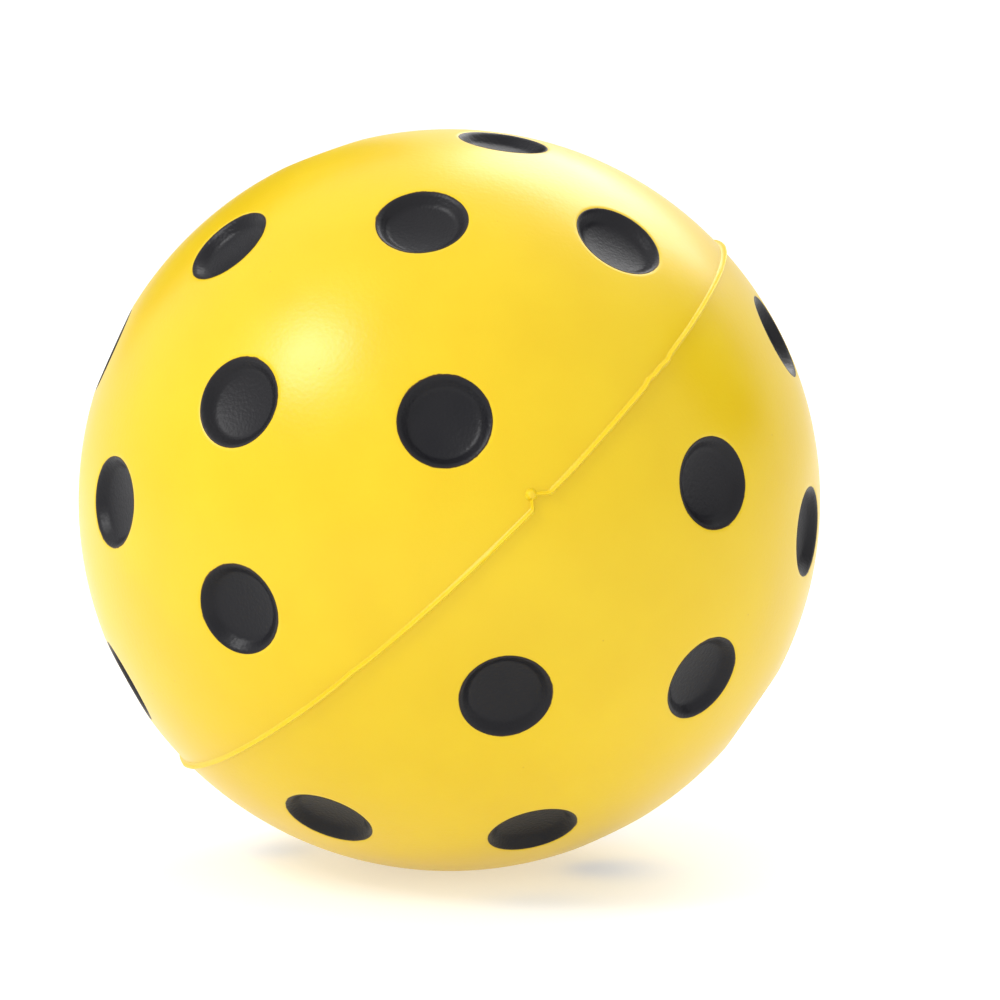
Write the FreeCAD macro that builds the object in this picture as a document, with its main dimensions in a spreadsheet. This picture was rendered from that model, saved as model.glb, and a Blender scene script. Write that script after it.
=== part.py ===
import FreeCAD, Part
import Sketcher
import math
import os

# A moulded foam ball, 74 mm across, with forty round blind dimples.
# The mould has two halves. Its parting plane is XY and its axis is Z, and the whole ball is
# laid over at the end so that it rests on the rim of one dimple. The ball's centre is the origin.

Vector = FreeCAD.Vector
Placement = FreeCAD.Placement
Rotation = FreeCAD.Rotation
Constraint = Sketcher.Constraint
CENTRE = Vector(0, 0, 0)
Y_AXIS = Vector(0, 1, 0)
Z_AXIS = Vector(0, 0, 1)

doc = FreeCAD.newDocument("dimpled_ball")

# ---------------------------------------------------------------- driving dimensions, mm and degrees

sheet = doc.addObject("Spreadsheet::Sheet", "Sizes")

SIZES = {
    "ball_diameter": 74.0,
    "skin_thickness": 0.5,
    "mouth_diameter": 8.6,      # where the wall would meet the ball if the lip were sharp
    "dimple_depth": 1.55,       # from the ball's round surface to the middle of the floor
    "lip_radius": 1.0,
    "wall_lean": 44.0,          # of the dimple's wall from the dimple's own axis
    "corner_radius": 1.1,
    "floor_radius": 20.0,
    "paint_spread": 0.1,        # of the paint's edge beyond the mouth, on the lip
    "paint_thickness": 0.04,
    "flash_upper_width": 0.45,  # from the parting plane to the foot of the flank
    "flash_lower_width": 0.3,
    "flash_height": 0.42,
    "flash_crest_radius": 0.12,
    "stub_diameter": 1.0,
    "stub_height": 0.45,
    "stub_shoulder": 0.15,
    "stub_latitude": 1.2,
    "heading": 186.3,
}

for row, (alias, value) in enumerate(SIZES.items(), start=1):
    sheet.set(f"A{row}", alias)
    sheet.set(f"B{row}", str(value))
    sheet.setAlias(f"B{row}", alias)
doc.recompute()


def size(alias):
    """The value of one cell of the sheet."""
    return float(sheet.get(alias))


# Where each dimple points: latitude from the parting plane and longitude round the mould's axis,
# in degrees. The rings are not quite even, because the cavity was cut by hand setting.
RINGS = {
    "upper_pole": [(71, -1.5), (65, 96), (61, 170), (68, -107)],
    "upper_middle": [
        (42.5, -69), (42.5, -26.5), (42, 27), (38.5, 68),
        (38, 112), (38, 157), (38, -158), (39, -113),
    ],
    "upper_seam": [
        (17.5, -47), (18, -2), (16, 44.5), (16, 90),
        (16, 135), (16, 180), (16, -137), (15.5, -94.5),
    ],
    "lower_seam": [
        (-17.5, -67.5), (-18, -24.5), (-18, 23), (-14.5, 64.5),
        (-16, 112), (-16, 157), (-16, -158), (-16, -112.5),
    ],
    "lower_middle": [
        (-46.5, -100), (-43.5, -47.5), (-42.5, 2), (-41.5, 47),
        (-43, 91.5), (-43, 136), (-43, 180), (-43, -141),
    ],
    "lower_pole": [(-72.5, 30.5), (-68, 125), (-65.5, -155), (-69, -72)],
}

# The dimple that the ball rests on.
REST_LATITUDE, REST_LONGITUDE = RINGS["lower_middle"][0]


def pointing(latitude, longitude):
    """Turns a piece made round its own Z axis to point that way from the ball's centre."""
    turned = Rotation(Z_AXIS, longitude) * Rotation(Y_AXIS, 90 - latitude)
    return Placement(CENTRE, turned)


# The rest dimple is swung round to the XZ plane, laid over to point straight down, and the ball
# is then turned to its heading.
LYING = Placement(
    CENTRE,
    Rotation(Z_AXIS, size("heading"))
    * Rotation(Y_AXIS, 90 + REST_LATITUDE)
    * Rotation(Z_AXIS, -REST_LONGITUDE),
)

# ---------------------------------------------------------------- one dimple's section


def dimple_section():
    """Points of the dimple's section, in a plane through its axis: x out, y along the axis.

    The wall slopes in from the mouth, where it would meet the ball's round surface if the lip
    were sharp. The lip arc is tangent to the ball and the wall, the corner to wall and floor.
    """
    ball = size("ball_diameter") / 2
    lip = size("lip_radius")
    corner = size("corner_radius")
    floor = size("floor_radius")
    mouth = size("mouth_diameter") / 2
    lean = math.radians(size("wall_lean"))
    to_air = Vector(-math.cos(lean), math.sin(lean), 0)
    down = Vector(-math.sin(lean), -math.cos(lean), 0)
    mouth_point = Vector(mouth, math.sqrt(ball**2 - mouth**2), 0)
    lip_line = mouth_point - to_air * lip
    along = lip_line.dot(down)
    beyond = lip_line.dot(lip_line) - (ball - lip) ** 2
    lip_centre = lip_line + down * (-along - math.sqrt(along**2 - beyond))
    floor_centre = Vector(0, ball - size("dimple_depth") + floor, 0)
    corner_line = mouth_point + to_air * corner
    along = (corner_line - floor_centre).dot(down)
    beyond = (corner_line - floor_centre).Length ** 2 - (floor - corner) ** 2
    corner_centre = corner_line + down * (-along + math.sqrt(along**2 - beyond))
    return {
        "mouth": mouth_point,
        "lip_centre": lip_centre,
        "corner_centre": corner_centre,
        "floor_centre": floor_centre,
        "to_air": to_air,
        "up": down * -1,
    }


def arc(centre, radius, start, end):
    """A sketch arc about a centre, anticlockwise from one point to another."""
    first = math.atan2(start.y - centre.y, start.x - centre.x)
    last = math.atan2(end.y - centre.y, end.x - centre.x)
    return Part.ArcOfCircle(Part.Circle(centre, Z_AXIS, radius), first, last)


START, END, MIDDLE = 1, 2, 3
X_LINE = -1
Y_LINE = -2
ORIGIN = -1


def set_size(sketch, constraint, formula):
    """Adds a dimension to a sketch and binds it to the sheet."""
    index = sketch.addConstraint(constraint)
    sketch.setExpression(f"Constraints[{index}]", formula)


def new_section(name):
    """A body with an empty sketch on its own XZ plane."""
    body = doc.addObject("PartDesign::Body", name)
    body.Label = name
    sketch = body.newObject("Sketcher::SketchObject", name + "_section")
    plane = [p for p in body.Origin.OriginFeatures if p.Role == "XZ_Plane"][0]
    sketch.AttachmentSupport = [(plane, "")]
    sketch.MapMode = "FlatFace"
    return body, sketch


def spin_section(body, sketch):
    """Turns the finished sketch round the body's Z axis."""
    spun = body.newObject("PartDesign::Revolution", body.Name + "_spun")
    spun.Profile = sketch
    spun.ReferenceAxis = (sketch, ["V_Axis"])
    spun.Angle = 360
    body.Tip = spun


def draw_floor_to_wall(sketch, out, wall_top, helper):
    """Floor arc, corner arc and wall of the surface that lies that far out from the dimple's.

    A helper is drawn as construction lines, for other edges to be placed by.
    """
    at = dimple_section()
    fall = (at["corner_centre"] - at["floor_centre"]).normalize()
    floor_r = size("floor_radius") - out
    corner_r = size("corner_radius") - out
    floor_middle = at["floor_centre"] - Vector(0, floor_r, 0)
    floor_edge = at["floor_centre"] + fall * floor_r
    wall_foot = at["corner_centre"] - at["to_air"] * corner_r
    floor = sketch.addGeometry(
        arc(at["floor_centre"], floor_r, floor_middle, floor_edge), helper)
    corner = sketch.addGeometry(
        arc(at["corner_centre"], corner_r, floor_edge, wall_foot), helper)
    wall = sketch.addGeometry(Part.LineSegment(wall_foot, wall_top), helper)
    sketch.addConstraint(Constraint("Tangent", floor, END, corner, START))
    sketch.addConstraint(Constraint("Tangent", corner, END, wall, START))
    sketch.addConstraint(Constraint("PointOnObject", floor, START, Y_LINE))
    return floor, corner, wall


def draw_dimple(sketch, wall_top, helper=False):
    """The dimple's own floor, corner and wall, placed in the sketch by the sheet."""
    at = dimple_section()
    floor, corner, wall = draw_floor_to_wall(sketch, 0.0, wall_top, helper)
    mouth = sketch.addGeometry(Part.Point(at["mouth"]), True)
    sketch.addConstraint(Constraint("PointOnObject", floor, MIDDLE, Y_LINE))
    sketch.addConstraint(Constraint("PointOnObject", mouth, START, wall))
    set_size(sketch, Constraint("Radius", floor, size("floor_radius")), "Sizes.floor_radius")
    set_size(sketch, Constraint("Radius", corner, size("corner_radius")), "Sizes.corner_radius")
    floor_y = size("ball_diameter") / 2 - size("dimple_depth")
    set_size(sketch, Constraint("DistanceY", ORIGIN, START, floor, START, floor_y),
             "Sizes.ball_diameter / 2 - Sizes.dimple_depth")
    set_size(sketch, Constraint("DistanceX", ORIGIN, START, mouth, START, at["mouth"].x),
             "Sizes.mouth_diameter / 2")
    set_size(sketch, Constraint("Distance", ORIGIN, START, mouth, START, at["mouth"].Length),
             "Sizes.ball_diameter / 2")
    set_size(sketch, Constraint("Angle", wall, math.radians(90 - size("wall_lean"))),
             "90 deg - Sizes.wall_lean * 1 deg")
    return floor, corner, wall


def draw_parallel(sketch, dimple, out, formula, wall_top):
    """Floor, corner and wall parallel to the dimple's, that far out; formula says it in cells."""
    floor, corner, wall = draw_floor_to_wall(sketch, out, wall_top, False)
    sketch.addConstraint(Constraint("Coincident", floor, MIDDLE, dimple[0], MIDDLE))
    sketch.addConstraint(Constraint("Coincident", corner, MIDDLE, dimple[1], MIDDLE))
    sketch.addConstraint(Constraint("Parallel", wall, dimple[2]))
    set_size(sketch, Constraint("Radius", floor, size("floor_radius") - out),
             f"Sizes.floor_radius - ({formula})")
    return floor, corner, wall


# ---------------------------------------------------------------- cutters for the dimples


def wall_at_height(out, height):
    """Where the wall that far out, run on upwards, comes to that height."""
    at = dimple_section()
    start = at["mouth"] + at["to_air"] * out
    return start + at["up"] * ((height - start.y) / at["up"].y)


def dimple_cutter(name, out, formula):
    """What leaves a sharp-lipped dimple in a round body, reaching well clear of the ball."""
    body, sketch = new_section(name)
    top = size("ball_diameter") / 2 + size("dimple_depth")
    roof_out = wall_at_height(out, top)
    roof_in = Vector(0, top, 0)
    if out:
        dimple = draw_dimple(sketch, wall_at_height(0.0, top), helper=True)
        floor, _, wall = draw_parallel(sketch, dimple, out, formula, roof_out)
        set_size(sketch, Constraint("DistanceY", ORIGIN, START, dimple[2], END, top),
                 "Sizes.ball_diameter / 2 + Sizes.dimple_depth")
    else:
        floor, _, wall = draw_dimple(sketch, roof_out)
    floor_middle = Vector(0, size("ball_diameter") / 2 - size("dimple_depth") + out, 0)
    roof = sketch.addGeometry(Part.LineSegment(roof_out, roof_in))
    spine = sketch.addGeometry(Part.LineSegment(roof_in, floor_middle))
    sketch.addConstraint(Constraint("Coincident", wall, END, roof, START))
    sketch.addConstraint(Constraint("Coincident", roof, END, spine, START))
    sketch.addConstraint(Constraint("Coincident", spine, END, floor, START))
    sketch.addConstraint(Constraint("Horizontal", roof))
    sketch.addConstraint(Constraint("PointOnObject", roof, END, Y_LINE))
    set_size(sketch, Constraint("DistanceY", ORIGIN, START, roof, START, top),
             "Sizes.ball_diameter / 2 + Sizes.dimple_depth")
    spin_section(body, sketch)
    return body


def all_round(name, cutter, rings):
    """One compound of the cutter, copied to every dimple of these rings."""
    copies = []
    for ring in rings:
        for number, (latitude, longitude) in enumerate(RINGS[ring], start=1):
            copy = doc.addObject("App::Link", f"{name}_{ring}_{number}")
            copy.LinkedObject = cutter
            copy.Placement = pointing(latitude, longitude)
            copies.append(copy)
    group = doc.addObject("Part::Compound", name)
    group.Links = copies
    return group


UPPER_RINGS = ["upper_pole", "upper_middle", "upper_seam"]
LOWER_RINGS = ["lower_seam", "lower_middle", "lower_pole"]

skin_cutter = dimple_cutter("skin_cutter", 0.0, "0")
core_cutter = dimple_cutter("core_cutter", -size("skin_thickness"), "-Sizes.skin_thickness")
doc.recompute()

# ---------------------------------------------------------------- halves of the ball
# Each half's round face is joined to itself at a longitude that passes between its dimples.

UPPER_HALF = {"rings": UPPER_RINGS, "low": 0, "high": 90, "join": 124.5}
LOWER_HALF = {"rings": LOWER_RINGS, "low": -90, "high": 0, "join": -12.5}


def dimpled_half(name, half, radius_formula, cutter):
    """Half a ball of that radius with sharp-lipped dimples cut in it."""
    ball = doc.addObject("Part::Sphere", name + "_ball")
    ball.setExpression("Radius", radius_formula)
    ball.Angle1 = half["low"]
    ball.Angle2 = half["high"]
    ball.Placement = Placement(CENTRE, Rotation(Z_AXIS, half["join"]))
    dimpled = doc.addObject("Part::Cut", name + "_dimpled")
    dimpled.Base = ball
    dimpled.Tool = all_round(name + "_dimples", cutter, half["rings"])
    return dimpled


# ---------------------------------------------------------------- foam core
# One block of foam that fills the skin, with a pocket behind every dimple.

CORE_RADIUS = "Sizes.ball_diameter / 2 - Sizes.skin_thickness"
upper_core = dimpled_half("upper_core", UPPER_HALF, CORE_RADIUS, core_cutter)
lower_core = dimpled_half("lower_core", LOWER_HALF, CORE_RADIUS, core_cutter)

foam_core = doc.addObject("Part::Fuse", "foam_core")
foam_core.Label = "foam_core"
foam_core.Base = upper_core
foam_core.Tool = lower_core

# ---------------------------------------------------------------- vent stub
# Foam that rose out of the mould's vent, cut off short: a post from the core, through the skin,
# with a low dome on top.

vent_stub, stub_sketch = new_section("vent_stub")
stub_r = size("stub_diameter") / 2
ball_r = size("ball_diameter") / 2
core_r = ball_r - size("skin_thickness")
foot_in = Vector(0, core_r, 0)
foot_out = Vector(stub_r, math.sqrt(core_r**2 - stub_r**2), 0)
shoulder = Vector(stub_r, ball_r + size("stub_shoulder"), 0)
crown = Vector(0, ball_r + size("stub_height"), 0)
rise = crown.y - shoulder.y
dome_r = (stub_r**2 + rise**2) / (2 * rise)
dome_centre = Vector(0, crown.y - dome_r, 0)
foot = stub_sketch.addGeometry(arc(CENTRE, core_r, foot_out, foot_in))
side = stub_sketch.addGeometry(Part.LineSegment(foot_out, shoulder))
dome = stub_sketch.addGeometry(arc(dome_centre, dome_r, shoulder, crown))
middle = stub_sketch.addGeometry(Part.LineSegment(crown, foot_in))
stub_sketch.addConstraint(Constraint("Coincident", foot, START, side, START))
stub_sketch.addConstraint(Constraint("Coincident", side, END, dome, START))
stub_sketch.addConstraint(Constraint("Coincident", dome, END, middle, START))
stub_sketch.addConstraint(Constraint("Coincident", middle, END, foot, END))
stub_sketch.addConstraint(Constraint("Coincident", foot, MIDDLE, ORIGIN, START))
stub_sketch.addConstraint(Constraint("PointOnObject", foot, END, Y_LINE))
stub_sketch.addConstraint(Constraint("PointOnObject", dome, END, Y_LINE))
stub_sketch.addConstraint(Constraint("PointOnObject", dome, MIDDLE, Y_LINE))
stub_sketch.addConstraint(Constraint("Vertical", side))
set_size(stub_sketch, Constraint("Radius", foot, core_r),
         "Sizes.ball_diameter / 2 - Sizes.skin_thickness")
set_size(stub_sketch, Constraint("DistanceX", ORIGIN, START, side, END, stub_r),
         "Sizes.stub_diameter / 2")
set_size(stub_sketch, Constraint("DistanceY", ORIGIN, START, side, END, shoulder.y),
         "Sizes.ball_diameter / 2 + Sizes.stub_shoulder")
set_size(stub_sketch, Constraint("DistanceY", ORIGIN, START, dome, END, crown.y),
         "Sizes.ball_diameter / 2 + Sizes.stub_height")
spin_section(vent_stub, stub_sketch)
doc.recompute()

# The stub in the mould's frame, as a tool for the pieces it passes through.
stub_tool = doc.addObject("App::Link", "stub_tool")
stub_tool.LinkedObject = vent_stub
stub_tool.Placement = pointing(size("stub_latitude"), 0)

# ---------------------------------------------------------------- skin, one shell from each mould half


def mouth_edges(dimpled):
    """Numbers of the sharp edges round the dimples' mouths: the only edges of that length."""
    around = math.pi * size("mouth_diameter")
    edges = enumerate(dimpled.Shape.Edges, start=1)
    return [number for number, edge in edges if abs(edge.Length - around) < 0.001]


def skin_half(name, half, core):
    """Half a ball with round-lipped dimples, hollowed by the core and pierced by the vent stub."""
    dimpled = dimpled_half(name, half, "Sizes.ball_diameter / 2", skin_cutter)
    doc.recompute()
    lip = size("lip_radius")
    lipped = doc.addObject("Part::Fillet", name + "_lipped")
    lipped.Base = dimpled
    lipped.Edges = [(number, lip, lip) for number in mouth_edges(dimpled)]
    hollow = doc.addObject("Part::Cut", name + "_hollow")
    hollow.Base = lipped
    hollow.Tool = core
    skin = doc.addObject("Part::Cut", name)
    skin.Label = name
    skin.Base = hollow
    skin.Tool = stub_tool
    return skin


upper_skin = skin_half("upper_skin", UPPER_HALF, upper_core)
lower_skin = skin_half("lower_skin", LOWER_HALF, lower_core)

# ---------------------------------------------------------------- flash at the parting line
# A thin ridge squeezed out between the mould halves, standing on the skin all the way round. Its
# upper flank is the wider, because it was rubbed down from that side.

flash_ring, flash_sketch = new_section("flash_ring")
upper_width = size("flash_upper_width")
lower_width = size("flash_lower_width")
crest_r = size("flash_crest_radius")
crest_centre = Vector(ball_r + size("flash_height") - crest_r, 0, 0)
base_low = Vector(math.sqrt(ball_r**2 - lower_width**2), -lower_width, 0)
base_high = Vector(math.sqrt(ball_r**2 - upper_width**2), upper_width, 0)


def crest_edge(foot, side):
    """Where a straight flank from that foot is tangent to the crest; side is 1 up, -1 down."""
    run = crest_centre.x - foot.x
    width = abs(foot.y)
    slope = math.atan2(width, run) - math.asin(crest_r / math.hypot(run, width))
    return crest_centre + Vector(math.sin(slope), side * math.cos(slope), 0) * crest_r


crest_low = crest_edge(base_low, -1)
crest_high = crest_edge(base_high, 1)
base = flash_sketch.addGeometry(arc(CENTRE, ball_r, base_low, base_high))
low_flank = flash_sketch.addGeometry(Part.LineSegment(base_low, crest_low))
crest = flash_sketch.addGeometry(arc(crest_centre, crest_r, crest_low, crest_high))
high_flank = flash_sketch.addGeometry(Part.LineSegment(crest_high, base_high))
flash_sketch.addConstraint(Constraint("Coincident", base, START, low_flank, START))
flash_sketch.addConstraint(Constraint("Tangent", low_flank, END, crest, START))
flash_sketch.addConstraint(Constraint("Tangent", crest, END, high_flank, START))
flash_sketch.addConstraint(Constraint("Coincident", high_flank, END, base, END))
flash_sketch.addConstraint(Constraint("Coincident", base, MIDDLE, ORIGIN, START))
flash_sketch.addConstraint(Constraint("PointOnObject", crest, MIDDLE, X_LINE))
set_size(flash_sketch, Constraint("Radius", base, ball_r), "Sizes.ball_diameter / 2")
set_size(flash_sketch, Constraint("Radius", crest, crest_r), "Sizes.flash_crest_radius")
set_size(flash_sketch, Constraint("DistanceY", base, START, ORIGIN, START, lower_width),
         "Sizes.flash_lower_width")
set_size(flash_sketch, Constraint("DistanceY", ORIGIN, START, base, END, upper_width),
         "Sizes.flash_upper_width")
set_size(flash_sketch, Constraint("DistanceX", ORIGIN, START, crest, MIDDLE, crest_centre.x),
         "Sizes.ball_diameter / 2 + Sizes.flash_height - Sizes.flash_crest_radius")
spin_section(flash_ring, flash_sketch)

# The ring's own closing edge is turned to the far side from the stub.
flash_ring.Placement = Placement(CENTRE, Rotation(Z_AXIS, 180))

parting_flash = doc.addObject("Part::Cut", "parting_flash")
parting_flash.Label = "parting_flash"
parting_flash.Base = flash_ring
parting_flash.Tool = stub_tool

# ---------------------------------------------------------------- black paint, one cup in each dimple


def paint_cup(name):
    """A film over a dimple's floor and wall, and over its lip as far as the paint goes."""
    body, sketch = new_section(name)
    at = dimple_section()
    film = size("paint_thickness")
    lip = size("lip_radius")
    lip_centre = at["lip_centre"]
    edge_x = size("mouth_diameter") / 2 + size("paint_spread")
    turn = math.asin((edge_x - lip_centre.x) / lip)
    outward = Vector(math.sin(turn), math.cos(turn), 0)
    edge_below = lip_centre + outward * lip
    edge_above = lip_centre + outward * (lip + film)
    wall_top_below = lip_centre + at["to_air"] * lip
    wall_top_above = lip_centre + at["to_air"] * (lip + film)
    dimple = draw_dimple(sketch, wall_top_below)
    face = draw_parallel(sketch, dimple, film, "Sizes.paint_thickness", wall_top_above)
    lip_below = sketch.addGeometry(arc(lip_centre, lip, edge_below, wall_top_below))
    lip_above = sketch.addGeometry(arc(lip_centre, lip + film, edge_above, wall_top_above))
    edge = sketch.addGeometry(Part.LineSegment(edge_below, edge_above))
    floor_y = size("ball_diameter") / 2 - size("dimple_depth")
    middle = sketch.addGeometry(
        Part.LineSegment(Vector(0, floor_y, 0), Vector(0, floor_y + film, 0)))
    sketch.addConstraint(Constraint("Tangent", dimple[2], END, lip_below, END))
    sketch.addConstraint(Constraint("Tangent", face[2], END, lip_above, END))
    sketch.addConstraint(Constraint("Coincident", lip_above, MIDDLE, lip_below, MIDDLE))
    sketch.addConstraint(Constraint("Coincident", edge, START, lip_below, START))
    sketch.addConstraint(Constraint("Coincident", edge, END, lip_above, START))
    sketch.addConstraint(Constraint("Coincident", middle, START, dimple[0], START))
    sketch.addConstraint(Constraint("Coincident", middle, END, face[0], START))
    sketch.addConstraint(Constraint("PointOnObject", lip_below, MIDDLE, edge))
    set_size(sketch, Constraint("Radius", lip_below, lip), "Sizes.lip_radius")
    set_size(sketch, Constraint("Distance", ORIGIN, START, lip_below, MIDDLE, lip_centre.Length),
             "Sizes.ball_diameter / 2 - Sizes.lip_radius")
    set_size(sketch, Constraint("DistanceX", ORIGIN, START, lip_below, START, edge_x),
             "Sizes.mouth_diameter / 2 + Sizes.paint_spread")
    spin_section(body, sketch)
    return body


pieces = [foam_core, upper_skin, lower_skin, parting_flash, vent_stub]
for piece in (foam_core, upper_skin, lower_skin, parting_flash):
    piece.Placement = LYING
vent_stub.Placement = LYING * pointing(size("stub_latitude"), 0)

for ring, places in RINGS.items():
    for number, (latitude, longitude) in enumerate(places, start=1):
        cup = paint_cup(f"{ring}_paint_{number}")
        cup.Placement = LYING * pointing(latitude, longitude)
        pieces.append(cup)

doc.recompute()

# ---------------------------------------------------------------- check and write

for thing in doc.Objects:
    if "Invalid" in thing.State or "Error" in thing.State:
        raise RuntimeError(f"{thing.Label} failed: {thing.State}")

os.makedirs("parts", exist_ok=True)
for piece in pieces:
    shape = piece.Shape
    if shape.isNull() or not shape.isValid() or shape.Volume <= 0:
        raise RuntimeError(f"{piece.Label} has no valid shape")
    shape.exportStep(f"parts/{piece.Label}.step")
    print(f"{piece.Label}: {len(shape.Solids)} solid, {shape.Volume:.2f} mm3")
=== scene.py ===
import bmesh
import bpy
import math
import numpy as np
from mathutils import Matrix, Vector


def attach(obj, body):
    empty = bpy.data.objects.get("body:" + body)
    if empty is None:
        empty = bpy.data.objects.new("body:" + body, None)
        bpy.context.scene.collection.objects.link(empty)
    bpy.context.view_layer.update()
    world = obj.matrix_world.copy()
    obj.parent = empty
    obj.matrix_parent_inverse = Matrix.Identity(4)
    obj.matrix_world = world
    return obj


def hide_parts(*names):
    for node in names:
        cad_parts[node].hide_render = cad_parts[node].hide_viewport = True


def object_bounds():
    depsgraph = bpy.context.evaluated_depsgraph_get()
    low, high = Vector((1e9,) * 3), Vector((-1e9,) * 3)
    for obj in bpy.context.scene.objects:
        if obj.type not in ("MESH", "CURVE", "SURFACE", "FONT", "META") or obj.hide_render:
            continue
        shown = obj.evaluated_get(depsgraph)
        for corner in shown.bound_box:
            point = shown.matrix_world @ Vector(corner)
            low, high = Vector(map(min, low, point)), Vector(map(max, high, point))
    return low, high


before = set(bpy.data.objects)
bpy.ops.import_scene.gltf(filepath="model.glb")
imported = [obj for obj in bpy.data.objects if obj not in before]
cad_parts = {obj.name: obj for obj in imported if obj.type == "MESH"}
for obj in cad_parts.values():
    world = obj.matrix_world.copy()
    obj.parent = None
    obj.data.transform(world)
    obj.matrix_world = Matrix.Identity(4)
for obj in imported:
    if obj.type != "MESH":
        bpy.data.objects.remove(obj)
cad_low, cad_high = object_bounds()

# ---------------------------------------------------------------- where the pieces lie
# The ball's centre is the origin. The mould's axis, the vent and every dimple's direction are
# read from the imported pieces.


def node_points(name):
    """Every corner of a CAD piece's mesh, one row each."""
    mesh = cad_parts[name].data
    points = np.empty(len(mesh.vertices) * 3)
    mesh.vertices.foreach_get("co", points)
    return points.reshape(-1, 3)


def node_direction(name):
    """From the ball's centre to the middle of a CAD piece's surface."""
    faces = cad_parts[name].data.polygons
    areas, middles = np.empty(len(faces)), np.empty(len(faces) * 3)
    faces.foreach_get("area", areas)
    faces.foreach_get("center", middles)
    return Vector(areas @ middles.reshape(-1, 3)).normalized()


BALL_RADIUS = float(np.linalg.norm(node_points("upper_skin"), axis=1).max())

# The flash lies in the parting plane, so its thinnest direction is the mould's axis.
mould_axis = Vector(np.linalg.svd(node_points("parting_flash"), full_matrices=False)[2][2])
if mould_axis.dot(node_direction("upper_skin")) < 0:
    mould_axis.negate()
vent_way = node_direction("vent_stub")
vent_way = (vent_way - mould_axis * vent_way.dot(mould_axis)).normalized()
mould_to_ball = Matrix((vent_way, mould_axis.cross(vent_way), mould_axis)).transposed().to_4x4()

paint_names = sorted(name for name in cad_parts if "_paint_" in name)
dimple_ways = {name: node_direction(name) for name in paint_names}


def only(piece):
    """Makes a piece the only one selected, and the active one."""
    bpy.ops.object.select_all(action="DESELECT")
    piece.select_set(True)
    bpy.context.view_layer.objects.active = piece


def apply_all(piece):
    """Puts a piece's place, turn and modifiers into its mesh."""
    only(piece)
    bpy.ops.object.transform_apply(location=True, rotation=True, scale=True)
    for modifier in [m.name for m in piece.modifiers]:
        bpy.ops.object.modifier_apply(modifier=modifier)


# ---------------------------------------------------------------- yellow skins
# Two mould halves give the foam a tough yellow skin, twenty round blind dimples in each.
# The skin is the foam itself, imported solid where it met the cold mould. Lips and corners are soft.

SKIN_THICKNESS = 0.0005
MOUTH_RADIUS = 0.0043
DIMPLE_DEPTH = 0.00155
LIP_RADIUS = 0.0010
WALL_LEAN = math.radians(44)
CORNER_RADIUS = 0.0011
FLOOR_RADIUS = 0.020
LAND_RADIUS = 0.0053
HOLE_RADIUS = 0.0055
ROUND_STEPS = 84
LIP_STEPS = 8
CORNER_STEPS = 5
FLOOR_STEPS = 3
SAME_POINT = 1e-7


def arc_points(centre, radius, first, last, steps):
    """Points along an arc of the section; angles are from the dimple's axis, outwards."""
    turns = [first + (last - first) * i / steps for i in range(steps + 1)]
    return [Vector((centre.x + radius * math.sin(t), centre.y + radius * math.cos(t)))
            for t in turns]


def dimple_centres():
    """Centres of the lip, corner and floor arcs, as (out from the axis, up the axis)."""
    to_air = Vector((-math.cos(WALL_LEAN), math.sin(WALL_LEAN)))
    down = Vector((-math.sin(WALL_LEAN), -math.cos(WALL_LEAN)))
    mouth = Vector((MOUTH_RADIUS, math.sqrt(BALL_RADIUS**2 - MOUTH_RADIUS**2)))
    line = mouth - to_air * LIP_RADIUS
    along = line.dot(down)
    beyond = line.dot(line) - (BALL_RADIUS - LIP_RADIUS) ** 2
    lip = line + down * (-along - math.sqrt(along**2 - beyond))
    floor = Vector((0, BALL_RADIUS - DIMPLE_DEPTH + FLOOR_RADIUS))
    line = mouth + to_air * CORNER_RADIUS
    along = (line - floor).dot(down)
    beyond = (line - floor).length_squared - (FLOOR_RADIUS - CORNER_RADIUS) ** 2
    corner = line + down * (-along + math.sqrt(along**2 - beyond))
    return lip, corner, floor


def dimple_section(film, start, lip_steps, corner_steps, floor_steps):
    """Section of the dimple, from a turn on its lip to near its middle, raised by a film."""
    lip, corner, floor = dimple_centres()
    wall = -(math.pi / 2 - WALL_LEAN)
    down_turn = math.pi - math.atan2(corner.x - floor.x, floor.y - corner.y)
    lip_part = arc_points(lip, LIP_RADIUS + film, start, wall, lip_steps)
    corner_part = arc_points(corner, CORNER_RADIUS - film, wall + math.pi, down_turn, corner_steps)
    floor_part = arc_points(floor, FLOOR_RADIUS - film, down_turn, math.pi, floor_steps)
    return lip_part + corner_part + floor_part[1:-1]


def spin_up(name, section, steps):
    """Draws the first ring of a section as a circle and pulls it out, ring by ring."""
    bpy.ops.object.select_all(action="DESELECT")
    first = section[0]
    bpy.ops.mesh.primitive_circle_add(vertices=steps, radius=first.x, location=(0, 0, first.y))
    piece = bpy.context.object
    piece.name = name
    apply_all(piece)
    bpy.ops.object.mode_set(mode="EDIT")
    bpy.ops.mesh.select_all(action="SELECT")
    for last, point in zip(section, section[1:]):
        bpy.ops.mesh.extrude_region_move(
            TRANSFORM_OT_translate={"value": (0, 0, point.y - last.y)})
        grow = point.x / last.x
        bpy.ops.transform.resize(value=(grow, grow, 1), center_override=(0, 0, point.y))
    return piece


def close_middle(rise):
    """Draws the selected ring together to one point on the axis."""
    bpy.ops.mesh.extrude_region_move(TRANSFORM_OT_translate={"value": (0, 0, rise)})
    bpy.ops.mesh.merge(type="CENTER")


def tidy_mesh():
    """Merges doubles and turns every face outwards, in edit mode."""
    bpy.ops.mesh.select_all(action="SELECT")
    bpy.ops.mesh.remove_doubles(threshold=SAME_POINT)
    bpy.ops.mesh.normals_make_consistent(inside=False)


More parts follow.
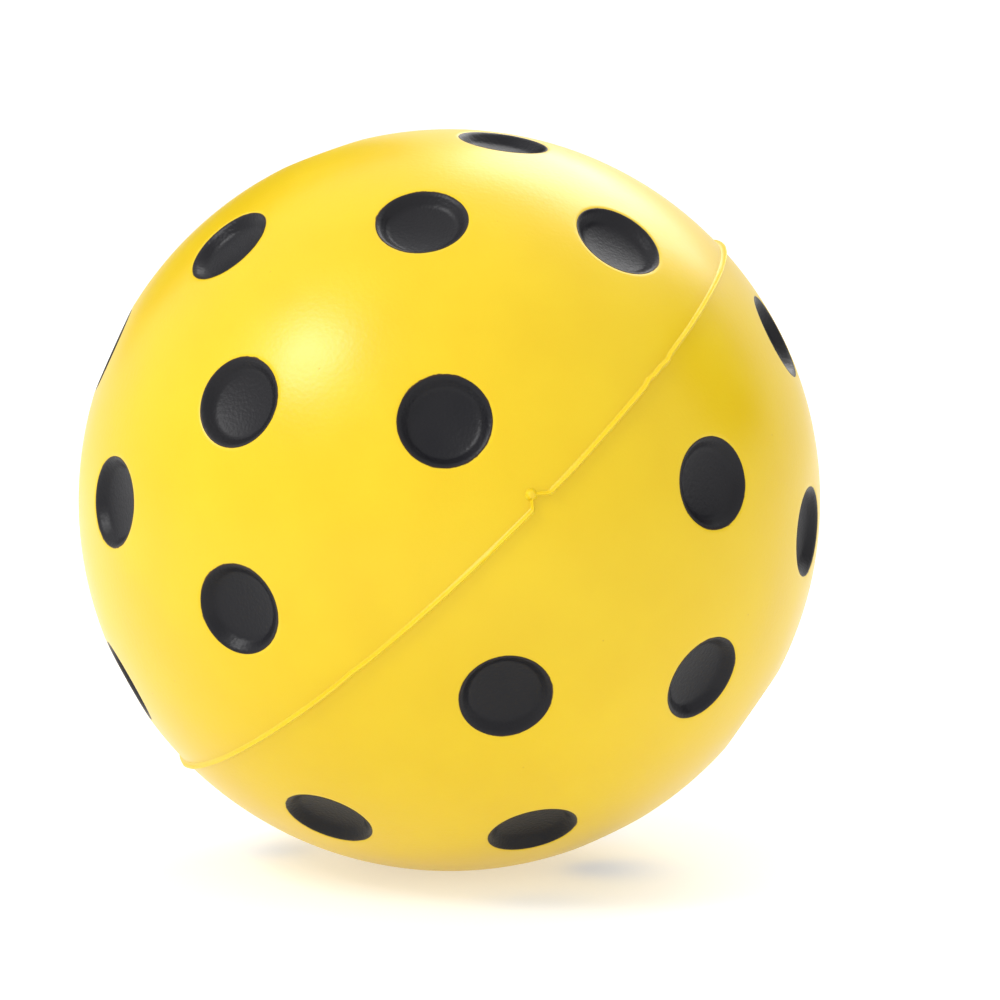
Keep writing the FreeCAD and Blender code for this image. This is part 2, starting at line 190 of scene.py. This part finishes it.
lip_centre, _, _ = dimple_centres()
mouth_turn = math.atan2(lip_centre.x, lip_centre.y)
land_edge = Vector((LAND_RADIUS, math.sqrt(BALL_RADIUS**2 - LAND_RADIUS**2)))
pocket_section = [land_edge] + dimple_section(
    0, mouth_turn, LIP_STEPS, CORNER_STEPS, FLOOR_STEPS)
pocket = spin_up("pocket", pocket_section, ROUND_STEPS)
close_middle(BALL_RADIUS - DIMPLE_DEPTH - pocket_section[-1].y)
bpy.ops.object.mode_set(mode="OBJECT")


def cut_half(name, outwards, ways):
    """Half a ball with a round hole where each dimple goes."""
    bpy.ops.object.select_all(action="DESELECT")
    bpy.ops.mesh.primitive_ico_sphere_add(subdivisions=7, radius=BALL_RADIUS)
    half = bpy.context.object
    half.name = name
    bpy.ops.object.mode_set(mode="EDIT")
    hole_height = math.sqrt(BALL_RADIUS**2 - HOLE_RADIUS**2)
    cuts = [(Vector(), -outwards)] + [(way * hole_height, way) for way in ways]
    for place, away in cuts:
        bpy.ops.mesh.select_all(action="SELECT")
        bpy.ops.mesh.bisect(plane_co=place, plane_no=away, clear_outer=True, threshold=1e-6)
    bpy.ops.object.mode_set(mode="OBJECT")
    return half


def sew_in_pockets(half, ways):
    """Joins a copy of the pocket to the half at each hole."""
    copies = []
    for way in ways:
        copy = bpy.data.objects.new("pocket_copy", pocket.data.copy())
        copy.matrix_world = way.to_track_quat("Z", "Y").to_matrix().to_4x4()
        bpy.context.collection.objects.link(copy)
        copies.append(copy)
    only(half)
    for copy in copies:
        copy.select_set(True)
    bpy.ops.object.join()
    bpy.ops.object.mode_set(mode="EDIT")
    bpy.ops.mesh.select_mode(type="EDGE")
    for way in ways:
        bpy.ops.mesh.select_all(action="DESELECT")
        shape = bmesh.from_edit_mesh(half.data)
        for edge in shape.edges:
            if edge.is_boundary:
                middle = (edge.verts[0].co + edge.verts[1].co) / 2
                if middle.dot(way) > 0 and middle.cross(way).length < HOLE_RADIUS + 0.0001:
                    edge.select_set(True)
        bmesh.update_edit_mesh(half.data)
        bpy.ops.mesh.bridge_edge_loops()
    tidy_mesh()
    bpy.ops.object.mode_set(mode="OBJECT")


def mark_paint_gap(piece, ways):
    """Keeps at every corner how far it is from the axis of the nearest dimple, in mm."""
    mesh = piece.data
    points = np.empty(len(mesh.vertices) * 3)
    mesh.vertices.foreach_get("co", points)
    points = points.reshape(-1, 3)
    nearest = np.full(len(points), 1.0)
    for way in ways:
        axis = np.array(way)
        along = points @ axis
        out = np.linalg.norm(points - np.outer(along, axis), axis=1)
        nearest = np.where(along > 0, np.minimum(nearest, out), nearest)
    kept = mesh.attributes.new("from_axis", "FLOAT", "POINT")
    kept.data.foreach_set("value", nearest * 1000)


def add_node(tree, kind, links=(), **values):
    """A node with its settings; a link is (socket to feed, socket that feeds it)."""
    node = tree.nodes.new(kind)
    for name, value in values.items():
        setattr(node, name, value)
    for socket, source in links:
        if isinstance(source, bpy.types.NodeSocket):
            tree.links.new(node.inputs[socket], source)
        else:
            node.inputs[socket].default_value = source
    return node


def add_map(tree, source, low, high, to_low=0.0, to_high=1.0, smooth=False):
    """Maps a number from one span to another and stops at its ends."""
    kind = "SMOOTHSTEP" if smooth else "LINEAR"
    node = add_node(tree, "ShaderNodeMapRange", interpolation_type=kind,
                    links=[("Value", source), ("From Min", low), ("From Max", high),
                           ("To Min", to_low), ("To Max", to_high)])
    return node.outputs["Result"]


def add_math(tree, operation, first, second):
    """One sum of two numbers."""
    node = add_node(tree, "ShaderNodeMath", operation=operation, links=[(0, first), (1, second)])
    return node.outputs[0]


def add_mix(tree, share, first, second):
    """Mixes two colours."""
    node = add_node(tree, "ShaderNodeMix", data_type="RGBA",
                    links=[(0, share), (6, first), (7, second)])
    return node.outputs[2]


def new_group(name, numbers_in, numbers_out):
    """An empty node group with those number sockets."""
    group = bpy.data.node_groups.new(name, "ShaderNodeTree")
    for socket, value in numbers_in.items():
        made = group.interface.new_socket(socket, in_out="INPUT", socket_type="NodeSocketFloat")
        made.default_value = value
    for socket in numbers_out:
        group.interface.new_socket(socket, in_out="OUTPUT", socket_type="NodeSocketFloat")
    given = group.nodes.new("NodeGroupInput")
    result = group.nodes.new("NodeGroupOutput")
    return group, given.outputs, result.inputs


# Moulded foam copies the mould's blasted face: a fine pebble, a slow unevenness and pinholes.
moulded_face, given, result = new_group(
    "moulded_face", {"Pebble mm": 0.45, "Pinholes": 0.5}, ["Height", "Cloud", "Pinhole"])
where = add_node(moulded_face, "ShaderNodeTexCoord").outputs["Object"]
pebble_scale = add_math(moulded_face, "DIVIDE", 1000.0, given["Pebble mm"])
pebble = add_node(moulded_face, "ShaderNodeTexNoise", links=[
    ("Vector", where), ("Scale", pebble_scale), ("Detail", 3.0), ("Roughness", 0.6)])
cells = add_node(moulded_face, "ShaderNodeTexVoronoi", feature="SMOOTH_F1", links=[
    ("Vector", where), ("Scale", pebble_scale), ("Smoothness", 0.6)])
slow = add_node(moulded_face, "ShaderNodeTexNoise", links=[
    ("Vector", where), ("Scale", 120.0), ("Detail", 2.0)])
dots = add_node(moulded_face, "ShaderNodeTexVoronoi", links=[("Vector", where), ("Scale", 420.0)])
chosen = add_node(moulded_face, "ShaderNodeSeparateColor", links=[("Color", dots.outputs["Color"])])
is_dot = add_map(moulded_face, dots.outputs["Distance"], 0.045, 0.03)
is_dot = add_math(moulded_face, "MULTIPLY", is_dot, add_map(
    moulded_face, chosen.outputs["Red"], 0.86, 0.88))
is_dot = add_math(moulded_face, "MULTIPLY", is_dot, given["Pinholes"])
face_height = add_math(moulded_face, "ADD", pebble.outputs["Fac"], add_math(
    moulded_face, "MULTIPLY", cells.outputs["Distance"], 0.5))
face_height = add_math(moulded_face, "SUBTRACT", face_height, is_dot)
moulded_face.links.new(result["Height"], face_height)
moulded_face.links.new(result["Cloud"], slow.outputs["Fac"])
moulded_face.links.new(result["Pinhole"], is_dot)

# Brushed-on black stops at a slightly uneven edge, with thin and stray paint beside it.
PAINT_EDGE_MM = 4.40
paint_edge, given, result = new_group(
    "paint_edge", {"From axis mm": 0.0, "Reach mm": 0.2}, ["Stray", "Thin"])
where = add_node(paint_edge, "ShaderNodeTexCoord").outputs["Object"]
ragged = add_node(paint_edge, "ShaderNodeTexNoise", links=[
    ("Vector", where), ("Scale", 1500.0), ("Detail", 2.0), ("Roughness", 0.5)])
patchy = add_node(paint_edge, "ShaderNodeTexNoise", links=[
    ("Vector", where), ("Scale", 260.0), ("Detail", 1.0)])
gap = add_math(paint_edge, "SUBTRACT", given["From axis mm"], PAINT_EDGE_MM)
reach = add_math(paint_edge, "MULTIPLY", given["Reach mm"], add_map(
    paint_edge, patchy.outputs["Fac"], 0.42, 0.66, 0.25, 1.6))
closeness = add_math(paint_edge, "SUBTRACT", 1.0, add_math(paint_edge, "DIVIDE", gap, reach))
speckled = add_math(paint_edge, "ADD", closeness, add_map(
    paint_edge, ragged.outputs["Fac"], 0.3, 0.7, -0.45, 0.25))
paint_edge.links.new(result["Stray"], add_map(paint_edge, speckled, 0.0, 0.9, smooth=True))
thin = add_math(paint_edge, "ADD", gap, add_map(
    paint_edge, ragged.outputs["Fac"], 0.3, 0.7, -0.03, 0.03))
paint_edge.links.new(result["Thin"], add_map(paint_edge, thin, -0.16, 0.04, smooth=True))


def new_finish(name):
    """A material with its node tree and its Principled shader."""
    finish = bpy.data.materials.new(name)
    finish.use_nodes = True
    return finish, finish.node_tree, finish.node_tree.nodes["Principled BSDF"]


def use_group(tree, group, **numbers):
    """Places a node group in a material."""
    return add_node(tree, "ShaderNodeGroup", node_tree=group, links=[
        (name.replace("_", " "), value) for name, value in numbers.items()])


def add_bump(tree, height, strength, distance):
    """A Bump node's normal."""
    return add_node(tree, "ShaderNodeBump", links=[
        ("Height", height), ("Strength", strength), ("Distance", distance)]).outputs["Normal"]


def glow_inside(shader, weight):
    """Lets light a little way into yellow foam."""
    shader.inputs["Subsurface Weight"].default_value = weight
    shader.inputs["Subsurface Radius"].default_value = (1.0, 0.55, 0.08)
    shader.inputs["Subsurface Scale"].default_value = 0.0006


# Skin pinholes are tinted a darker brown: painted shade inside the tiny holes.
PINHOLE_SHADE_BROWN = (0.52, 0.30, 0.01, 1)
STRAY_PAINT = (0.060, 0.030, 0.008, 1)
STRAY_REACH_MM = 0.09

yellow_skin, tree, shader = new_finish("yellow_skin")
face = use_group(tree, moulded_face, Pebble_mm=0.42, Pinholes=0.5).outputs
axis = add_node(tree, "ShaderNodeAttribute", attribute_name="from_axis").outputs["Fac"]
edge = use_group(tree, paint_edge, From_axis_mm=axis, Reach_mm=STRAY_REACH_MM).outputs
yellow = add_mix(tree, add_map(tree, face["Cloud"], 0.3, 0.7),
                 (0.715, 0.490, 0.004, 1), (0.740, 0.520, 0.006, 1))
yellow = add_mix(tree, face["Pinhole"], yellow, PINHOLE_SHADE_BROWN)
yellow = add_mix(tree, edge["Stray"], yellow, STRAY_PAINT)
tree.links.new(shader.inputs["Base Color"], yellow)
tree.links.new(shader.inputs["Roughness"], add_map(tree, face["Cloud"], 0.3, 0.7, 0.29, 0.35))
tree.links.new(shader.inputs["Normal"], add_bump(tree, face["Height"], 0.35, 0.00003))
shader.inputs["Specular IOR Level"].default_value = 0.38
glow_inside(shader, 0.12)

for name, outwards in (("upper", mould_axis), ("lower", -mould_axis)):
    ways = [way for paint, way in dimple_ways.items() if paint.startswith(name)]
    skin = cut_half(name + "_half", outwards, ways)
    sew_in_pockets(skin, ways)
    wall = skin.modifiers.new("wall", "SOLIDIFY")
    wall.thickness = SKIN_THICKNESS
    wall.offset = -1
    apply_all(skin)
    bpy.ops.object.shade_smooth_by_angle(angle=math.radians(40))
    mark_paint_gap(skin, ways)
    skin.data.materials.append(yellow_skin)
    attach(skin, "root")
    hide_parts(name + "_skin")

bpy.data.objects.remove(pocket)

# ---------------------------------------------------------------- foam core
# One block of soft polyurethane foam fills the skin. It rises in the closed mould in one shot with
# the skin, and stays a shade paler than the skin, with open cells.

core_foam, tree, shader = new_finish("core_foam")
where = add_node(tree, "ShaderNodeTexCoord").outputs["Object"]
foam_cells = add_node(tree, "ShaderNodeTexVoronoi", links=[("Vector", where), ("Scale", 2600.0)])
# The cell pits are coloured darker than the cell walls: painted shade in the open cells.
foam_tone_and_pit_shade = add_mix(tree, add_map(tree, foam_cells.outputs["Distance"], 0.0, 0.7),
                      (0.70, 0.52, 0.10, 1), (0.86, 0.72, 0.22, 1))
tree.links.new(shader.inputs["Base Color"], foam_tone_and_pit_shade)
tree.links.new(shader.inputs["Normal"], add_bump(
    tree, foam_cells.outputs["Distance"], 0.8, 0.0002))
shader.inputs["Roughness"].default_value = 0.9

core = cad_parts["foam_core"]
core.data.materials.clear()
core.data.materials.append(core_foam)

# ---------------------------------------------------------------- flash at the parting line
# Foam squeezed out between the mould halves sets as a thin fin, never quite even. It was rubbed
# down but not cut off, and it steps aside at the vent.

FLASH_STEPS = 1260
FLASH_SECTION = [        # (out from the ball's surface, along the mould's axis), mm
    (-0.12, -0.36), (-0.03, -0.33), (0.02, -0.24), (0.08, -0.16), (0.18, -0.115), (0.32, -0.085),
    (0.41, -0.05), (0.44, 0.00), (0.42, 0.055), (0.34, 0.09), (0.22, 0.13), (0.11, 0.18),
    (0.03, 0.27), (-0.03, 0.36), (-0.12, 0.39),
]
flash_section = [Vector((BALL_RADIUS + out / 1000, up / 1000)) for out, up in FLASH_SECTION]
flash = spin_up("flash", flash_section, FLASH_STEPS)
bpy.ops.mesh.select_mode(type="EDGE")
bpy.ops.mesh.select_all(action="SELECT")
bpy.ops.mesh.region_to_loop()
bpy.ops.mesh.bridge_edge_loops()
tidy_mesh()
bpy.ops.object.mode_set(mode="OBJECT")



def mark_edge(piece, name, start, full):
    """A vertex group that grows from nothing to whole between two distances from the Z axis."""
    group = piece.vertex_groups.new(name=name)
    for point in piece.data.vertices:
        share = (math.hypot(point.co.x, point.co.y) - start) / (full - start)
        group.add([point.index], max(0.0, min(1.0, share)), "REPLACE")


mark_edge(flash, "crest", BALL_RADIUS + 0.0001, BALL_RADIUS + 0.0003)


def add_wander(piece, name, grain, strength, direction, group):
    """Uneven moulding or trimming: a noise that moves the surface."""
    noise = bpy.data.textures.new(name, "CLOUDS")
    noise.noise_scale = grain
    noise.noise_depth = 1
    wander = piece.modifiers.new(name, "DISPLACE")
    wander.texture = noise
    wander.texture_coords = "LOCAL"
    wander.direction = direction
    wander.strength = strength
    wander.mid_level = 0.5
    wander.vertex_group = group


add_wander(flash, "flash_height", 0.0060, 0.00018, "NORMAL", "crest")
add_wander(flash, "flash_lean", 0.0080, 0.00016, "Z", "crest")
add_wander(flash, "flash_nicks", 0.0012, 0.00005, "NORMAL", "crest")
apply_all(flash)


def nudge(piece, longitude, before, after, move):
    """Slides the flash up or down the mould's axis near a longitude, dying away to either side."""
    for point in piece.data.vertices:
        off = math.degrees(math.atan2(point.co.y, point.co.x)) - longitude
        along = math.radians((off + 180) % 360 - 180) * BALL_RADIUS
        share = 1 + along / before if along < 0 else 1 - along / after
        if share > 0:
            point.co.z += move * share


KINKS = [                # (longitude from the vent, run in, run out, step), degrees and mm
    (-0.85, 0.9, 1.4, 1.15), (25.0, 0.9, 0.8, 0.16), (30.0, 1.2, 0.9, -0.16),
    (-38.0, 1.8, 2.0, 0.08),
]
for longitude, before, after, move in KINKS:
    nudge(flash, longitude, before / 1000, after / 1000, move / 1000)
flash.matrix_world = mould_to_ball
apply_all(flash)
bpy.ops.object.shade_smooth_by_angle(angle=math.radians(60))

yellow_flash, tree, shader = new_finish("yellow_flash")
face = use_group(tree, moulded_face, Pebble_mm=0.25, Pinholes=0.0).outputs
yellow = add_mix(tree, add_map(tree, face["Cloud"], 0.3, 0.7),
                 (0.725, 0.500, 0.005, 1), (0.755, 0.535, 0.007, 1))
tree.links.new(shader.inputs["Base Color"], yellow)
tree.links.new(shader.inputs["Normal"], add_bump(tree, face["Height"], 0.5, 0.00004))
shader.inputs["Roughness"].default_value = 0.45
glow_inside(shader, 0.25)

flash.data.materials.append(yellow_flash)
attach(flash, "root")
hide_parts("parting_flash")

# ---------------------------------------------------------------- vent stub
# Foam that rose out of the mould's vent, cut off short with a blade. The cut top is a little
# dished and torn, and the foot flares into the skin.

STUB_SECTION = [         # (out from the stub's axis, out from the ball's surface), mm
    (0.62, -0.15), (0.62, -0.02), (0.51, 0.08), (0.44, 0.20), (0.40, 0.34), (0.33, 0.45),
    (0.23, 0.51), (0.11, 0.50),
]
STUB_LATITUDE = math.radians(1.78)
STUB_LONGITUDE = math.radians(-0.85)
stub = spin_up("stub", [Vector((x / 1000, BALL_RADIUS + z / 1000)) for x, z in STUB_SECTION], 48)
close_middle(0)
bpy.ops.mesh.select_all(action="SELECT")
bpy.ops.transform.vertex_random(offset=0.00003, uniform=1.0, normal=0.0, seed=4)
bpy.ops.mesh.vertices_smooth(factor=0.5, repeat=2)
bpy.ops.mesh.select_all(action="DESELECT")
bpy.ops.mesh.select_non_manifold()
bpy.ops.mesh.edge_face_add()
tidy_mesh()
bpy.ops.object.mode_set(mode="OBJECT")
stub_way = mould_to_ball @ Vector((1, math.tan(STUB_LONGITUDE), math.tan(STUB_LATITUDE)))
stub.matrix_world = stub_way.to_track_quat("Z", "Y").to_matrix().to_4x4()
apply_all(stub)
bpy.ops.object.shade_smooth_by_angle(angle=math.radians(50))
stub.data.materials.append(yellow_flash)
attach(stub, "root")
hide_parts("vent_stub")

# ---------------------------------------------------------------- black paint
# Elastic black paint is dabbed into each dimple and flows out to a thin uneven edge on the lip.
# It dries satin, follows the foam's pebble, and each dimple's film is a piece by itself.

PAINT_THICKNESS = 0.00004
PAINT_SPREAD = 0.0001        # of the edge beyond the mouth, on the lip
CUP_STEPS = 144
paint_start = math.asin((MOUTH_RADIUS + PAINT_SPREAD - lip_centre.x) / LIP_RADIUS)
under = dimple_section(0, paint_start, 5, 5, 4)[::-1]
over = dimple_section(PAINT_THICKNESS, paint_start, 5, 5, 4)
outward = Vector((math.sin(paint_start), math.cos(paint_start)))
along_lip = Vector((outward.y, -outward.x))
round_edge = [under[-1] + along_lip * 0.00002 + outward * 0.000012,
              over[0] + along_lip * 0.00001 - outward * 0.00001]
cup = spin_up("cup", under + round_edge + over, CUP_STEPS)
close_middle(BALL_RADIUS - DIMPLE_DEPTH + PAINT_THICKNESS - over[-1].y)
bpy.ops.mesh.select_all(action="DESELECT")
bpy.ops.mesh.select_non_manifold()
bpy.ops.mesh.edge_face_add()
bpy.ops.mesh.poke()
tidy_mesh()
bpy.ops.object.mode_set(mode="OBJECT")
mark_edge(cup, "rim", 0.0042, 0.0044)

black_paint, tree, shader = new_finish("black_paint")
face = use_group(tree, moulded_face, Pebble_mm=0.32, Pinholes=0.3).outputs
axis = add_node(tree, "ShaderNodeAttribute", attribute_name="from_axis").outputs["Fac"]
edge = use_group(tree, paint_edge, From_axis_mm=axis, Reach_mm=STRAY_REACH_MM).outputs
black = add_mix(tree, add_map(tree, face["Cloud"], 0.3, 0.7),
                (0.0050, 0.0050, 0.0075, 1), (0.0095, 0.0090, 0.0110, 1))
black = add_mix(tree, edge["Thin"], black, (0.040, 0.018, 0.006, 1))
tree.links.new(shader.inputs["Base Color"], black)
tree.links.new(shader.inputs["Roughness"], add_map(tree, face["Cloud"], 0.3, 0.7, 0.36, 0.46))
tree.links.new(shader.inputs["Normal"], add_bump(tree, face["Height"], 0.85, 0.00004))
shader.inputs["Specular IOR Level"].default_value = 0.24

for name, way in dimple_ways.items():
    film = bpy.data.objects.new(name + "_film", cup.data.copy())
    bpy.context.collection.objects.link(film)
    film.vertex_groups.new(name="rim")
    film.matrix_world = way.to_track_quat("Z", "Y").to_matrix().to_4x4()
    add_wander(film, "rim_wander", 0.0022, 0.000008, "NORMAL", "rim")
    apply_all(film)
    bpy.ops.object.shade_smooth_by_angle(angle=math.radians(60))
    mark_paint_gap(film, [way])
    film.data.materials.append(black_paint)
    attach(film, "root")
    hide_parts(name)

bpy.data.objects.remove(cup)

# ---------------------------------------------------------------- floor, light and camera
# The ball rests on the rim of one dimple, on a plain white sweep, under a soft box to the upper
# left and another above and behind, in a white room with a black board to each side behind it.

bpy.ops.object.select_all(action="DESELECT")
bpy.ops.mesh.primitive_circle_add(vertices=96, radius=60, fill_type="NGON",
                                  location=(0, 0, cad_low.z))
floor = bpy.context.object
floor.name = "floor"
white_sweep, tree, shader = new_finish("white_sweep")
where = add_node(tree, "ShaderNodeTexCoord").outputs["Object"]
paper = add_node(tree, "ShaderNodeTexNoise", links=[("Vector", where), ("Scale", 900.0)])
tree.links.new(shader.inputs["Base Color"], add_mix(
    tree, paper.outputs["Fac"], (0.65, 0.65, 0.65, 1), (0.67, 0.67, 0.67, 1)))
shader.inputs["Roughness"].default_value = 0.9
shader.inputs["Specular IOR Level"].default_value = 0.1
shader.inputs["Emission Color"].default_value = (1, 1, 1, 1)
shader.inputs["Emission Strength"].default_value = 0.45
floor.data.materials.append(white_sweep)

room = bpy.data.worlds.new("white_room")
bpy.context.scene.world = room
room.use_nodes = True
room.node_tree.nodes["Background"].inputs["Color"].default_value = (1, 1, 1, 1)
room.node_tree.nodes["Background"].inputs["Strength"].default_value = 1.0


def add_softbox(name, way, distance, width, height, brightness):
    """A square lamp that faces the ball; brightness is how white it looks in a mirror."""
    lamp = bpy.data.lights.new(name, "AREA")
    lamp.shape = "RECTANGLE"
    lamp.size = width
    lamp.size_y = height
    lamp.energy = brightness * math.pi * width * height
    softbox = bpy.data.objects.new(name, lamp)
    bpy.context.collection.objects.link(softbox)
    away = Vector(way).normalized()
    softbox.location = away * distance
    softbox.rotation_euler = away.to_track_quat("Z", "Y").to_euler()


add_softbox("key_softbox", (-0.615, -0.380, 0.691), 0.9, 0.27, 0.27, 16.5)
add_softbox("back_softbox", (0.32, 0.68, 0.66), 0.9, 0.52, 0.52, 4.4)


def add_flag(name, way, distance, side):
    """A square black board that faces the ball and takes white out of its reflection."""
    bpy.ops.object.select_all(action="DESELECT")
    away = Vector(way).normalized()
    bpy.ops.mesh.primitive_plane_add(size=side, location=away * distance,
                                     rotation=away.to_track_quat("Z", "Y").to_euler())
    flag = bpy.context.object
    flag.name = name
    flag.data.materials.append(black_board)


black_board, tree, shader = new_finish("black_board")
where = add_node(tree, "ShaderNodeTexCoord").outputs["Object"]
felt = add_node(tree, "ShaderNodeTexNoise", links=[("Vector", where), ("Scale", 700.0)])
tree.links.new(shader.inputs["Base Color"], add_mix(
    tree, felt.outputs["Fac"], (0.01, 0.01, 0.01, 1), (0.02, 0.02, 0.02, 1)))
shader.inputs["Roughness"].default_value = 0.9
add_flag("left_flag", (-0.34, 0.84, 0.40), 1.3, 0.75)
add_flag("right_flag", (0.88, 0.26, 0.40), 1.3, 0.7)

CAMERA_DISTANCE = 0.4292
CAMERA_RISE = math.radians(7)
LOOK_AT = Vector((0.005025, 0, 0))
eye = bpy.data.cameras.new("eye")
eye.sensor_width = 36
eye.lens = 154.35
eye.clip_start = 0.01
eye.clip_end = 200
camera = bpy.data.objects.new("camera", eye)
bpy.context.collection.objects.link(camera)
camera.location = Vector((0, -math.cos(CAMERA_RISE), math.sin(CAMERA_RISE))) * CAMERA_DISTANCE
camera.rotation_euler = (LOOK_AT - camera.location).to_track_quat("-Z", "Y").to_euler()
bpy.context.scene.camera = camera
bpy.context.scene.view_settings.view_transform = "Standard"
